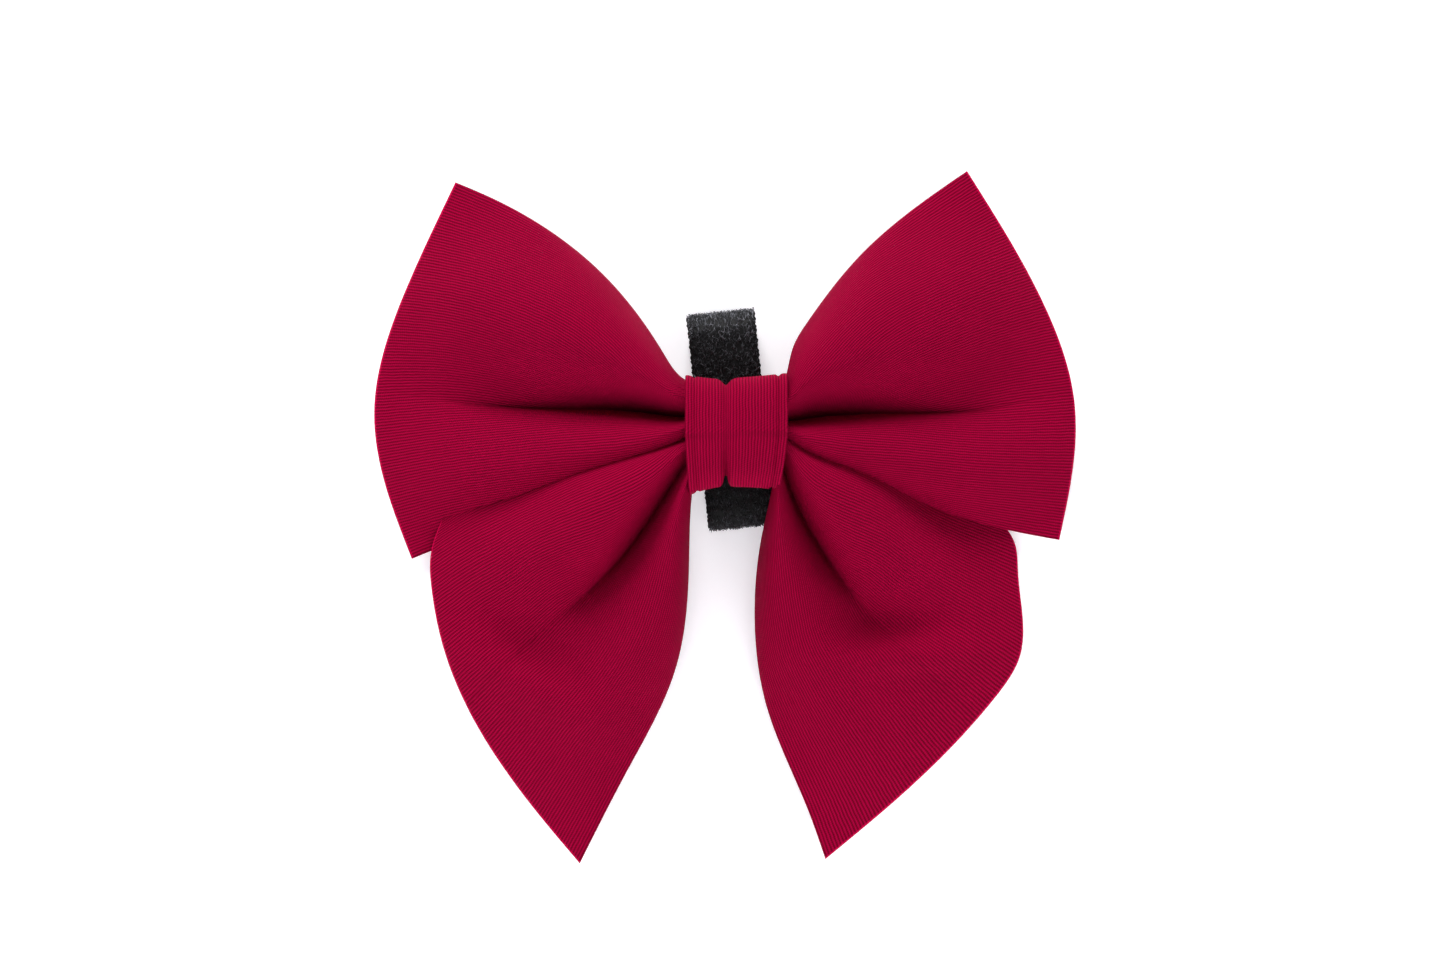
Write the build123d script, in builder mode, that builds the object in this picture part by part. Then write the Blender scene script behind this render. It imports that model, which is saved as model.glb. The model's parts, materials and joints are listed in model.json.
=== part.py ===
from build123d import *
import os
from math import cos, hypot, radians, sin

# A sailor bow that rides on a pet's collar: two sewn cloth pillows pleated side by side,
# a knot band round their waist, and a hook-and-loop strap behind it that closes over the collar.
# It stands upright, as worn. Z is up, X runs across, and the front of the bow faces -Y.
# The origin is the middle of the strap's inner face, where the collar lies against it.
# "Forward" below is the distance towards the front, along -Y.

# ---- strap tape, along its own up direction ----
tape_width = 16.0
tape = 1.4
strap_tilt = 6.0
loop_height = 50.4
collar_gap = 6.0
upper_tail_end = -15.5
lower_tail_end = 14.0
fold_slit = 0.1

# ---- hook patch on the inner face of the upper arm ----
hook_tape = 1.2
hook_gap = 0.3
hook_width = 15.0
hook_top = 9.0
hook_bottom = -13.5
corner_radius = 1.5

# ---- sewing thread ----
thread = 0.6
thread_fit = 0.05
thread_sink = 0.05
tack_columns = 4
tack_rows = 2
tack_step = 2.6
tack_spread = 9.0
patch_stitch_step = 3.0
patch_stitch_inset = 1.2
seam_stitches = 6
seam_stitch_step = 3.6
seam_stitch_length = 3.2

# ---- cloth pillows ----
wing_reach = 84.4
tail_reach = 92.5
cloth = 1.0
fold_gap = 0.4
pillow_gap = 0.8
waist_depth = 14.5
valley_depth = 9.0
waist_overhang = 2.0
panel_drop = 1.8
cut_depth = 60.0
above_pillows = 70.0
below_pillows = -90.0
between_pillows = 20.0
under_wings = -50.0
valley_puff = 0.55

# ---- knot band ----
band_wall = 1.6
band_width = 23.3
band_offset_x = 1.05
band_offset_z = -3.1
waist_corner = 0.9
band_to_tape = 0.3
band_slit = 0.4
thread_room = 0.3
crease_depth = 0.7
crease_width = 2.4
waist_turns = 3
waist_turn_step = 2.2

# ---- worked out from the sizes above ----
fold_pitch = cloth + fold_gap
pillow_height = 7 * fold_pitch + cloth
wing_centre = band_offset_z + (pillow_height + pillow_gap) / 2
tail_centre = band_offset_z - (pillow_height + pillow_gap) / 2
band_back = tape + band_to_tape
band_room = thread_room + thread + thread_room
stack_back = band_back + band_wall + band_room
stack_front = stack_back + waist_depth
stack_middle = (stack_back + stack_front) / 2
band_front = stack_front + band_room + band_wall
waist_left = band_offset_x - band_width / 2 - waist_overhang
waist_right = band_offset_x + band_width / 2 + waist_overhang
lower_back = -collar_gap - tape
patch_front = lower_back - hook_gap
patch_back = patch_front - hook_tape
upper_back = patch_back - tape
hole_radius = thread / 2 + thread_fit

os.makedirs("parts", exist_ok=True)


def keep(builder, name):
    """Labels a finished piece and writes its own file."""
    builder.part.label = name
    export_step(builder.part, f"parts/{name}.step")


# =====================================================================
# The four cloth panels
# =====================================================================
# A panel is cloth through a row of stations, from one far end across the waist to the other.
# Stations are placed by their share of the wing's reach or of the tail's.
# At a station it is a line of eight points across the pillow: a low edge, a low ridge, a valley,
# a high ridge and a high edge. At the waist the same line is folded into an M of upright pleats.


def offset_line(line, half):
    """The line's points moved sideways by half, with mitred corners."""
    moved = []
    for i, (across, forward) in enumerate(line):
        normals = []
        for start, end in zip(line[max(i - 1, 0) : i + 1], line[max(i, 1) : i + 2]):
            run, rise = end[0] - start[0], end[1] - start[1]
            length = hypot(run, rise)
            normals.append((-rise / length, run / length))
        first, last = normals[0], normals[-1]
        share = half / (1 + first[0] * last[0] + first[1] * last[1])
        moved.append((across + share * (first[0] + last[0]), forward + share * (first[1] + last[1])))
    return moved


def across_plane(x, z, lean):
    """A plane across a pillow. Its first axis leans from up by this angle, its second is forward."""
    up = (-sin(radians(lean)), 0, cos(radians(lean)))
    return Plane(origin=(x, 0, z), x_dir=up, z_dir=(up[2], 0, -up[0]))


def station(plane, low, valley, high, edges, ridges, bottom, shoulders, lip, cleft, puff):
    """The front and back panels' lines at one place along a pillow."""
    front = [
        (low, edges[0]),
        (low + shoulders[0], ridges[0]),
        (valley - lip, ridges[0]),
        (valley - cleft, bottom),
        (valley + cleft, bottom),
        (valley + lip, ridges[1]),
        (high - shoulders[1], ridges[1]),
        (high, edges[1]),
    ]
    shallow = puff * valley_puff
    shifts = [panel_drop, puff, puff, shallow, shallow, puff, puff, panel_drop]
    sides = [1, 1, -1, -1, 1, 1, -1, -1]
    back = [
        (across + side * fold_pitch, forward - shift)
        for (across, forward), shift, side in zip(front, shifts, sides)
    ]
    return {"plane": plane, "front": front, "back": back}


def waist(x, centre):
    """Both panels folded into upright pleats inside the band, the back panel within the front one."""
    back_edge, ridge = stack_back, stack_front - cloth / 2
    bottom = ridge - valley_depth
    turns = [-3.5, -3.5, -0.5, -0.5, 0.5, 0.5, 3.5, 3.5]
    inner_turns = [-2.5, -2.5, -1.5, -1.5, 1.5, 1.5, 2.5, 2.5]
    heights = [back_edge, ridge, ridge, bottom, bottom, ridge, ridge, back_edge]
    inner = [back_edge] + [height - fold_pitch for height in heights[1:-1]] + [back_edge]
    return {
        "plane": across_plane(x, centre, 0),
        "front": [(fold_pitch * turn, height) for turn, height in zip(turns, heights)],
        "back": [(fold_pitch * turn, height) for turn, height in zip(inner_turns, inner)],
    }


def add_panel(stations, side, ends):
    """Cloth of even thickness through every station, cut to the pillow's two sewn ends."""
    sections = []
    for place in stations:
        upper_side = offset_line(place[side], cloth / 2)
        lower_side = offset_line(place[side], -cloth / 2)
        with BuildSketch(place["plane"]) as section:
            with BuildLine():
                Polyline(*upper_side, *reversed(lower_side), close=True)
            make_face()
        sections.append(section.sketch)
    loft(sections, ruled=True)
    with BuildSketch(Plane.XZ) as outline:
        with BuildLine():
            Polyline(*ends, close=True)
        make_face()
    extrude(outline.sketch, amount=cut_depth, both=True, mode=Mode.INTERSECT)


# ---- wings: the upper pillow, which spreads sideways ----
def wing_plane(share):
    """An upright plane across the wings, at this share of the left wing's reach from the middle."""
    return across_plane(share * wing_reach, 0, 0)


wing_stations = [
    station(wing_plane(-1.031), -37, 6, 67, (-8, -8), (-6, -6), -6.3, (14, 14), 12, 5, 1.8),
    station(wing_plane(-0.77), -22.7, 6, 55.9, (-7, -8), (1, 1), -1, (12, 14), 11, 4, 5),
    station(wing_plane(-0.59), -16.7, 4, 48.2, (-4, -6), (6, 6), 2, (8, 14), 8, 3, 7),
    station(wing_plane(-0.366), -9.6, 3, 32.8, (0, -2), (11, 12), 5, (3, 9), 3.5, 1.5, 6),
    waist(waist_left, wing_centre),
    waist(waist_right, wing_centre),
    station(wing_plane(0.331), -8.6, 3, 35.3, (0, -2), (12, 12), 5.5, (3, 9), 3, 1.2, 6),
    station(wing_plane(0.483), -18.2, 4, 48.2, (-2, -5), (8, 8), 3, (8, 14), 7, 2.5, 7),
    station(wing_plane(0.749), -25.5, 5.5, 65, (-6, -7), (2, 2), 0, (12, 14), 10, 4, 5),
    station(wing_plane(0.995), -29.5, 7, 80, (-8, -8), (-6, -6), -6.3, (14, 14), 12, 5, 1.8),
]
left_wing_end = [(-0.77, 55.9), (-1, 3.5), (-0.896, -32.5)]
right_wing_end = [(0.922, -28.3), (0.959, 15.3), (0.805, 41.1), (0.65, 58.8)]
wing_outline = left_wing_end + [(0, under_wings)] + right_wing_end + [(0, above_pillows)]
wing_ends = [(share * wing_reach, z) for share, z in wing_outline]

with BuildPart() as wing_front_panel:
    add_panel(wing_stations, "front", wing_ends)
keep(wing_front_panel, "wing_front_panel")

with BuildPart() as wing_back_panel:
    add_panel(wing_stations, "back", wing_ends)
keep(wing_back_panel, "wing_back_panel")


# ---- tails: the lower pillow, which fans down to both sides ----
left_lean = 57
right_lean = -65


def down_tail(side, lean, share, across):
    """A point of the front view, at this share of the tail's reach and this far across the tail."""
    along = (side * cos(radians(lean)), side * sin(radians(lean)))
    start = band_offset_x + side * band_width / 2
    distance = share * tail_reach
    x = start + along[0] * distance - across * sin(radians(lean))
    return x, tail_centre + along[1] * distance + across * cos(radians(lean))


def tail_plane(side, lean, share):
    """A plane across one tail, at this share of its reach from the band's end."""
    x, z = down_tail(side, lean, share, 0)
    return across_plane(x, z, lean)


left_tail = [
    station(tail_plane(-1, left_lean, 1.07), -32, 8, 56, (-8, -8), (-6, -6), -6.3, (12, 14), 12, 5, 1.8),
    station(tail_plane(-1, left_lean, 0.67), -26.2, 7, 50, (-7, -6), (3, 2), 0, (9, 18), 9, 3.5, 5),
    station(tail_plane(-1, left_lean, 0.346), -19.5, 2.5, 31.5, (-2, 0), (9, 10), 4, (6, 8), 6, 2, 6),
]
right_tail = [
    station(tail_plane(1, right_lean, 0.292), -19.7, 6, 28, (-1, 0), (9, 10), 4, (6, 8), 5, 2, 6),
    station(tail_plane(1, right_lean, 0.595), -27.5, 8, 63, (-7, -6), (3, 2), 0, (9, 26), 9, 3.5, 5),
    station(tail_plane(1, right_lean, 1.016), -31, 8, 66, (-8, -8), (-6, -6), -6.3, (12, 20), 12, 5, 1.8),
]
tail_stations = left_tail + [waist(waist_left, tail_centre), waist(waist_right, tail_centre)] + right_tail
left_tail_end = [(0.515, 39.0), (0.722, 28.3), (1.017, -31.3)]
right_tail_end = [(0.977, -31.1), (0.774, 18.4), (0.707, 30.4), (0.585, 36.5), (0.437, 41.5)]
tail_ends = [down_tail(-1, left_lean, *place) for place in left_tail_end] + [(0, below_pillows)]
tail_ends += [down_tail(1, right_lean, *place) for place in right_tail_end] + [(0, between_pillows)]

with BuildPart() as tail_front_panel:
    add_panel(tail_stations, "front", tail_ends)
keep(tail_front_panel, "tail_front_panel")

with BuildPart() as tail_back_panel:
    add_panel(tail_stations, "back", tail_ends)
keep(tail_back_panel, "tail_back_panel")


# =====================================================================
# The waist: its binding thread, the knot band and the band's closing seam
# =====================================================================
side_plane = Plane.YZ.offset(band_offset_x)
stack_height = 2 * pillow_height + pillow_gap


def ring_sketch(room, wall, corner):
    """A frame round the pleat stack, standing off it by room, with this radius at its inner corners."""
    inside_width = waist_depth + 2 * room
    inside_height = stack_height + 2 * room
    with Locations((-stack_middle, band_offset_z)):
        RectangleRounded(inside_width + 2 * wall, inside_height + 2 * wall, corner + wall)
        RectangleRounded(inside_width, inside_height, corner, mode=Mode.SUBTRACT)


with BuildPart() as waist_thread:
    for turn in range(waist_turns):
        shift = (turn - (waist_turns - 1) / 2) * waist_turn_step
        with BuildSketch(side_plane.offset(shift - thread / 2)):
            ring_sketch(thread_room, thread, waist_corner)
        extrude(amount=thread)
keep(waist_thread, "waist_thread")

seam_z = band_offset_z
seam_forward = band_back + band_wall / 2
seam_xs = [band_offset_x + (i - (seam_stitches - 1) / 2) * seam_stitch_step for i in range(seam_stitches)]
tack_xs = [(i - (tack_columns - 1) / 2) * tack_step for i in range(tack_columns)]
tack_vs = [(i - (tack_rows - 1) / 2) * 2 * tack_spread for i in range(tack_rows)]
strap_plane = Plane(
    origin=(0, 0, 0),
    x_dir=(cos(radians(strap_tilt)), 0, sin(radians(strap_tilt))),
    z_dir=(0, -1, 0),
)

with BuildPart() as knot_band:
    with BuildSketch(side_plane.offset(-band_width / 2)):
        ring_sketch(band_room, band_wall, waist_corner + thread + thread_room)
    extrude(amount=band_width)
    with BuildSketch(Plane.XZ.offset(band_front)):
        with Locations((band_offset_x, band_offset_z)):
            Rectangle(crease_width, stack_height + 4 * band_wall + 4 * band_room)
    extrude(amount=-crease_depth, taper=45, mode=Mode.SUBTRACT)
    with BuildSketch(Plane.XZ.offset(band_back)):
        with Locations((band_offset_x, seam_z)):
            Rectangle(band_width, band_slit)
    extrude(amount=band_wall, mode=Mode.SUBTRACT)
    for x in seam_xs:
        with Locations(Location((x, -seam_forward, seam_z))):
            Cylinder(hole_radius, seam_stitch_length + 2 * thread_fit, mode=Mode.SUBTRACT)
    with Locations(strap_plane):
        with Locations([(x, v) for x in tack_xs for v in tack_vs]):
            Cylinder(hole_radius, 2 * (band_back + band_wall), mode=Mode.SUBTRACT)
keep(knot_band, "knot_band")

with BuildPart() as band_closing_stitches:
    for x in seam_xs:
        with Locations(Location((x, -seam_forward, seam_z))):
            Cylinder(thread / 2, seam_stitch_length)
keep(band_closing_stitches, "band_closing_stitches")


# =====================================================================
# The strap: one loop tape, as a fixed middle and two arms that bend at the top and the bottom
# =====================================================================
# Its section is drawn with the first axis up along the strap and the second axis forward.
section_plane = Plane(
    origin=(0, 0, 0),
    x_dir=(-sin(radians(strap_tilt)), 0, cos(radians(strap_tilt))),
    z_dir=(cos(radians(strap_tilt)), 0, sin(radians(strap_tilt))),
).offset(-tape_width / 2)
top_outer = (tape - upper_back) / 2
top_centre = (loop_height / 2 - top_outer, (tape + upper_back) / 2)
bottom_outer = (tape - lower_back) / 2
bottom_centre = (-loop_height / 2 + bottom_outer, (tape + lower_back) / 2)


def quarter_bend(centre, outer, corner):
    """The quarter of a bend of tape on this corner's side, less half the slit where two quarters meet."""
    with Locations(centre):
        Circle(outer)
        Circle(outer - tape, mode=Mode.SUBTRACT)
    with Locations((centre[0] + corner[0] * outer / 2, centre[1] + corner[1] * outer / 2)):
        Rectangle(outer, outer, mode=Mode.INTERSECT)
    with Locations((centre[0] + corner[0] * outer / 2, centre[1])):
        Rectangle(outer, fold_slit, mode=Mode.SUBTRACT)


def straight_tape(low, high, back):
    """A straight run of tape between two heights, its rear face this far forward."""
    with Locations(((low + high) / 2, back + tape / 2)):
        Rectangle(high - low, tape)


with BuildPart() as strap_centre:
    with BuildSketch(section_plane):
        quarter_bend(top_centre, top_outer, (1, 1))
    extrude(amount=tape_width)
    with BuildSketch(section_plane):
        quarter_bend(bottom_centre, bottom_outer, (-1, 1))
    extrude(amount=tape_width)
    with BuildSketch(section_plane):
        straight_tape(bottom_centre[0], top_centre[0], 0)
    extrude(amount=tape_width)
    with Locations(strap_plane):
        with Locations([(x, v) for x in tack_xs for v in tack_vs]):
            Cylinder(hole_radius, 4 * tape, mode=Mode.SUBTRACT)
keep(strap_centre, "strap_centre")

with BuildPart() as strap_tack_stitches:
    tack_length = band_back + band_wall - 2 * thread_sink
    with Locations(strap_plane.offset(thread_sink + tack_length / 2)):
        with Locations([(x, v) for x in tack_xs for v in tack_vs]):
            Cylinder(thread / 2, tack_length)
keep(strap_tack_stitches, "strap_tack_stitches")

patch_length = hook_top - hook_bottom
patch_middle = (hook_top + hook_bottom) / 2
row_width = hook_width - 2 * patch_stitch_inset
row_height = patch_length - 2 * patch_stitch_inset
columns = int(row_width // patch_stitch_step) + 1
rows = int(row_height // patch_stitch_step) + 1
patch_stitches = []
for i in range(columns):
    x = (i / (columns - 1) - 0.5) * row_width
    patch_stitches += [(x, patch_middle - row_height / 2), (x, patch_middle + row_height / 2)]
for i in range(1, rows - 1):
    v = patch_middle + (i / (rows - 1) - 0.5) * row_height
    patch_stitches += [(-row_width / 2, v), (row_width / 2, v)]

with BuildPart() as strap_upper_arm:
    with BuildSketch(section_plane):
        quarter_bend(top_centre, top_outer, (1, -1))
    extrude(amount=tape_width)
    with BuildSketch(section_plane):
        straight_tape(upper_tail_end, top_centre[0], upper_back)
    extrude(amount=tape_width)
    with Locations(strap_plane.offset(upper_back)):
        with Locations(patch_stitches):
            Cylinder(hole_radius, 4 * tape, mode=Mode.SUBTRACT)
keep(strap_upper_arm, "strap_upper_arm")

with BuildPart() as hook_patch:
    with BuildSketch(strap_plane.offset(patch_back)):
        with Locations((0, patch_middle)):
            RectangleRounded(hook_width, patch_length, corner_radius)
    extrude(amount=hook_tape)
    with Locations(strap_plane.offset(patch_back)):
        with Locations(patch_stitches):
            Cylinder(hole_radius, 4 * hook_tape, mode=Mode.SUBTRACT)
keep(hook_patch, "hook_patch")

with BuildPart() as hook_patch_stitches:
    stitch_length = tape + hook_tape - 2 * thread_sink
    with Locations(strap_plane.offset(upper_back + thread_sink + stitch_length / 2)):
        with Locations(patch_stitches):
            Cylinder(thread / 2, stitch_length)
keep(hook_patch_stitches, "hook_patch_stitches")

with BuildPart() as strap_lower_arm:
    with BuildSketch(section_plane):
        quarter_bend(bottom_centre, bottom_outer, (-1, -1))
    extrude(amount=tape_width)
    with BuildSketch(section_plane):
        straight_tape(bottom_centre[0], lower_tail_end, lower_back)
    extrude(amount=tape_width)
keep(strap_lower_arm, "strap_lower_arm")
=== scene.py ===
"""A crimson sailor bow for a pet's collar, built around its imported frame.

Two sewn and turned cloth pillows, the wings above and the tails below, are pleated side by side
at the waist. A folded band of the same ribbed cloth goes round the waist, and a black hook-and-loop
strap behind it closes over the collar. Lengths in the sections are in millimetres, as (x, z) in the
front view and "forward" towards the front of the bow, and become metres when a mesh is made.
"""
import json
import math

import bpy
import numpy as np
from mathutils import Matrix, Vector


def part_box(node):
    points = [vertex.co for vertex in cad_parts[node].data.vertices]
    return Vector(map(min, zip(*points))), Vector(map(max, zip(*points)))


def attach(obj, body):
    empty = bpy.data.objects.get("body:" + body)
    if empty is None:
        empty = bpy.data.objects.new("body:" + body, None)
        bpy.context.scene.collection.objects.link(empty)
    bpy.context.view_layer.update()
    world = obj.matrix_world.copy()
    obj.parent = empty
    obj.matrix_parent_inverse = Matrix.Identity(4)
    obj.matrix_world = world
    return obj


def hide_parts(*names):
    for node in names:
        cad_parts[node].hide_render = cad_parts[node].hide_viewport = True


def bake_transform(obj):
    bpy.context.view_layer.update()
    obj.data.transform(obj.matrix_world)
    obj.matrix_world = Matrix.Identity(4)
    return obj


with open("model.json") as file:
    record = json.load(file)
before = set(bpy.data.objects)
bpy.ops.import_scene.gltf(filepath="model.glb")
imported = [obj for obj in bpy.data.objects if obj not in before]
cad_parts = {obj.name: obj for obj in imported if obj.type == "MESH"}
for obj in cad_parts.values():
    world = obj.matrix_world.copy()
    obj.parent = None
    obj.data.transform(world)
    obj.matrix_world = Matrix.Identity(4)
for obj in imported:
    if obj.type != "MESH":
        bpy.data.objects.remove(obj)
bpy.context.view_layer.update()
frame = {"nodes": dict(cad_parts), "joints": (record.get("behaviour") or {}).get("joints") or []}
scene = bpy.context.scene

# ---- camera, table and light -------------------------------------------------------------------
# The bow lies on a white table and is seen from straight above it. Here it stands upright, so the
# table is a pale wall close behind it that turns into a floor well below. The wall shows only its
# front, so the back of the bow can be looked at too.
camera_data = bpy.data.cameras.new("camera")
camera_data.sensor_width = 36
camera_data.lens = 68.8
camera = bpy.data.objects.new("camera", camera_data)
camera.location = (-0.0021, -0.645, -0.0143)
camera.rotation_euler = (math.radians(90), 0, 0)
scene.collection.objects.link(camera)
scene.camera = camera
scene.view_settings.view_transform = "Standard"


def make_mesh(name, points, faces, smooth=True):
    """A mesh object from points in millimetres, each (x, forward, z), and its faces."""
    placed = np.asarray(points, float) * (0.001, -0.001, 0.001)
    mesh = bpy.data.meshes.new(name)
    mesh.from_pydata(placed, [], faces)
    mesh.polygons.foreach_set("use_smooth", np.full(len(mesh.polygons), smooth))
    mesh.update()
    piece = bpy.data.objects.new(name, mesh)
    scene.collection.objects.link(piece)
    return piece


def grid_faces(rows, columns, flip=False):
    """Four-sided faces over a grid of rows by columns of points, as an array of corner numbers."""
    corner = np.arange(rows * columns).reshape(rows, columns)
    faces = np.stack([corner[:-1, :-1], corner[1:, :-1], corner[1:, 1:], corner[:-1, 1:]], axis=-1)
    faces = faces.reshape(-1, 4)
    return faces[:, ::-1] if flip else faces


def maths(tree, operation, first, second=None, third=None):
    """A maths node with sockets or plain numbers as its inputs. Gives its output socket."""
    node = tree.nodes.new("ShaderNodeMath")
    node.operation = operation
    for index, value in enumerate((first, second, third)):
        if isinstance(value, bpy.types.NodeSocket):
            tree.links.new(value, node.inputs[index])
        elif value is not None:
            node.inputs[index].default_value = value
    return node.outputs[0]


# The sweep's section is the wall, a quarter round and the floor, wide enough to fill every view.
table_gap = 0.6
wall_top, floor_level, floor_reach, half_wide = 1200, -190, 1600, 1500.0
sweep_radius = 60
wall_forward = -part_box("strap_upper_arm")[1].y * 1000 - table_gap
bend = np.linspace(0, math.pi / 2, 17)
round_forward = wall_forward + sweep_radius * (1 - np.cos(bend))
round_up = floor_level + sweep_radius * (1 - np.sin(bend))
section_forward = np.concatenate([[wall_forward], round_forward, [wall_forward + floor_reach]])
section_up = np.concatenate([[wall_top], round_up, [floor_level]])
left_and_right = np.repeat([-half_wide, half_wide], len(section_up))
table_points = np.stack([left_and_right, np.tile(section_forward, 2), np.tile(section_up, 2)], axis=-1)
table = make_mesh("table", table_points, grid_faces(2, len(section_up), flip=True))

# The wall isn't seen from behind, and it throws no shadow.
table_paint = bpy.data.materials.new("table_white")
table_paint.use_nodes = True
tree = table_paint.node_tree
skin = tree.nodes["Principled BSDF"]
skin.inputs["Base Color"].default_value = (0.93, 0.93, 0.945, 1)
skin.inputs["Roughness"].default_value = 0.9
skin.inputs["Emission Color"].default_value = (0.95, 0.95, 1, 1)
skin.inputs["Emission Strength"].default_value = 0.3
facing = tree.nodes.new("ShaderNodeNewGeometry")
ray = tree.nodes.new("ShaderNodeLightPath")
see_through = tree.nodes.new("ShaderNodeBsdfTransparent")
mix = tree.nodes.new("ShaderNodeMixShader")
hidden = maths(tree, "MAXIMUM", facing.outputs["Backfacing"], ray.outputs["Is Shadow Ray"])
tree.links.new(hidden, mix.inputs[0])
tree.links.new(skin.outputs[0], mix.inputs[1])
tree.links.new(see_through.outputs[0], mix.inputs[2])
tree.links.new(mix.outputs[0], tree.nodes["Material Output"].inputs[0])
table.data.materials.append(table_paint)


def soft_light(name, place, size, watts):
    """A square soft box at a place in metres, turned towards the knot."""
    light = bpy.data.lights.new(name, "AREA")
    light.shape = "SQUARE"
    light.size = size
    light.energy = watts
    lamp = bpy.data.objects.new(name, light)
    lamp.location = place
    across = math.atan2(-place[0], place[1])
    down = math.atan2(place[2], math.hypot(place[0], place[1]))
    lamp.rotation_euler = (math.radians(90) - down, 0, math.pi + across)
    scene.collection.objects.link(lamp)


soft_light("key_from_above", (-0.3, -0.95, 2.2), 1.0, 84)
soft_light("fill_from_front", (0.35, -1.3, 0.2), 1.0, 1.2)
soft_light("fill_behind", (0.3, 1.2, 0.7), 0.9, 5)

# The world lights the bow faintly, and is white where the camera sees it past the table.
world = bpy.data.worlds.new("world")
world.use_nodes = True
world.node_tree.nodes["Background"].inputs["Color"].default_value = (0.97, 0.98, 1, 1)
seen = world.node_tree.nodes.new("ShaderNodeLightPath")
faint, added_where_seen = 0.16, 0.85
strength = maths(world.node_tree, "MULTIPLY_ADD", seen.outputs["Is Camera Ray"], added_where_seen, faint)
world.node_tree.links.new(strength, world.node_tree.nodes["Background"].inputs["Strength"])
scene.world = world

# ---- crimson cloth -----------------------------------------------------------------------------
# The ribbed crimson cloth of the pillows and the band. Its threads show as fine ribs along the
# piece, so the pattern follows the piece's own flat measure: U is the way along and V the way
# across, both in millimetres, and "rim" is the distance in millimetres from a sewn end, along
# which a thin painted highlight runs.


def shader_group(name, inputs, outputs):
    """An empty shader node group with named value inputs and outputs, and its two end nodes."""
    group = bpy.data.node_groups.new(name, "ShaderNodeTree")
    for label, value in inputs:
        socket = group.interface.new_socket(label, in_out="INPUT", socket_type="NodeSocketFloat")
        socket.default_value = value
    for label, kind in outputs:
        group.interface.new_socket(label, in_out="OUTPUT", socket_type=kind)
    start = group.nodes.new("NodeGroupInput")
    end = group.nodes.new("NodeGroupOutput")
    return group, start, end


# Ribs: a wave across V, a weaker cross thread along U, and a slow mottling, put out as a height
# in millimetres and as painted shade, a value from 0 in the grooves to 1 on the ribs.
ribs, ribs_in, ribs_out = shader_group(
    "ribs",
    [("Pitch", 0.70), ("Depth", 0.13), ("Mottle", 0.12)],
    [("Height", "NodeSocketFloat"), ("Shade", "NodeSocketFloat"), ("Mottling", "NodeSocketFloat")],
)
flat = ribs.nodes.new("ShaderNodeUVMap")
parts = ribs.nodes.new("ShaderNodeSeparateXYZ")
ribs.links.new(flat.outputs[0], parts.inputs[0])
wander = ribs.nodes.new("ShaderNodeTexNoise")
wander.inputs["Scale"].default_value = 0.35
wander.inputs["Detail"].default_value = 2
ribs.links.new(flat.outputs[0], wander.inputs["Vector"])
rib_place = maths(ribs, "DIVIDE", parts.outputs[1], ribs_in.outputs["Pitch"])
rib_place = maths(ribs, "MULTIPLY_ADD", wander.outputs[0], 0.5, rib_place)  # strays by half a rib
rib_wave = maths(ribs, "SINE", maths(ribs, "MULTIPLY", rib_place, 2 * math.pi))
thread_pitch = maths(ribs, "MULTIPLY", ribs_in.outputs["Pitch"], 0.7)
thread_place = maths(ribs, "DIVIDE", parts.outputs[0], thread_pitch)
thread_place = maths(ribs, "MULTIPLY_ADD", rib_place, 0.5, thread_place)
thread_wave = maths(ribs, "SINE", maths(ribs, "MULTIPLY", thread_place, 2 * math.pi))
wave = maths(ribs, "MULTIPLY_ADD", thread_wave, 0.3, rib_wave)
shade = maths(ribs, "MULTIPLY_ADD", wave, 0.38, 0.5)
mottle = ribs.nodes.new("ShaderNodeTexNoise")
mottle.inputs["Scale"].default_value = 0.09
mottle.inputs["Detail"].default_value = 4
ribs.links.new(flat.outputs[0], mottle.inputs["Vector"])
ribs.links.new(maths(ribs, "MULTIPLY", shade, ribs_in.outputs["Depth"]), ribs_out.inputs["Height"])
ribs.links.new(shade, ribs_out.inputs["Shade"])
ribs.links.new(
    maths(ribs, "MULTIPLY", maths(ribs, "SUBTRACT", mottle.outputs[0], 0.5), ribs_in.outputs["Mottle"]),
    ribs_out.inputs["Mottling"],
)

crimson = bpy.data.materials.new("crimson_ribbed_cloth")
crimson.use_nodes = True
tree = crimson.node_tree
skin = tree.nodes["Principled BSDF"]
pattern = tree.nodes.new("ShaderNodeGroup")
pattern.node_tree = ribs
rim = tree.nodes.new("ShaderNodeAttribute")
rim.attribute_name = "rim"
# A painted highlight: within this width of a sewn end the colour is lifted to a lighter line.
highlight_width, highlight_lift = 0.45, 0.9
hem = maths(tree, "LESS_THAN", rim.outputs["Fac"], highlight_width)
# Painted shade: the ribs' shade makes the colour darker in the grooves and lighter on the ribs.
value = maths(tree, "MULTIPLY_ADD", pattern.outputs["Shade"], 1.2, 0.35)
value = maths(tree, "ADD", value, pattern.outputs["Mottling"])
value = maths(tree, "MULTIPLY_ADD", hem, highlight_lift, value)
tint = tree.nodes.new("ShaderNodeCombineColor")
for channel, amount in enumerate((0.205, 0.0002, 0.0205)):
    tree.links.new(maths(tree, "MULTIPLY", value, amount), tint.inputs[channel])
tree.links.new(tint.outputs[0], skin.inputs["Base Color"])
skin.inputs["Roughness"].default_value = 0.8
skin.inputs["Specular IOR Level"].default_value = 0.02
skin.inputs["Sheen Weight"].default_value = 0.18
skin.inputs["Sheen Roughness"].default_value = 0.5
skin.inputs["Sheen Tint"].default_value = (0.75, 0.004, 0.08, 1)
raised = tree.nodes.new("ShaderNodeBump")
raised.inputs["Strength"].default_value = 1
raised.inputs["Distance"].default_value = 0.001
tree.links.new(pattern.outputs["Height"], raised.inputs["Height"])
tree.links.new(raised.outputs[0], skin.inputs["Normal"])

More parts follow.
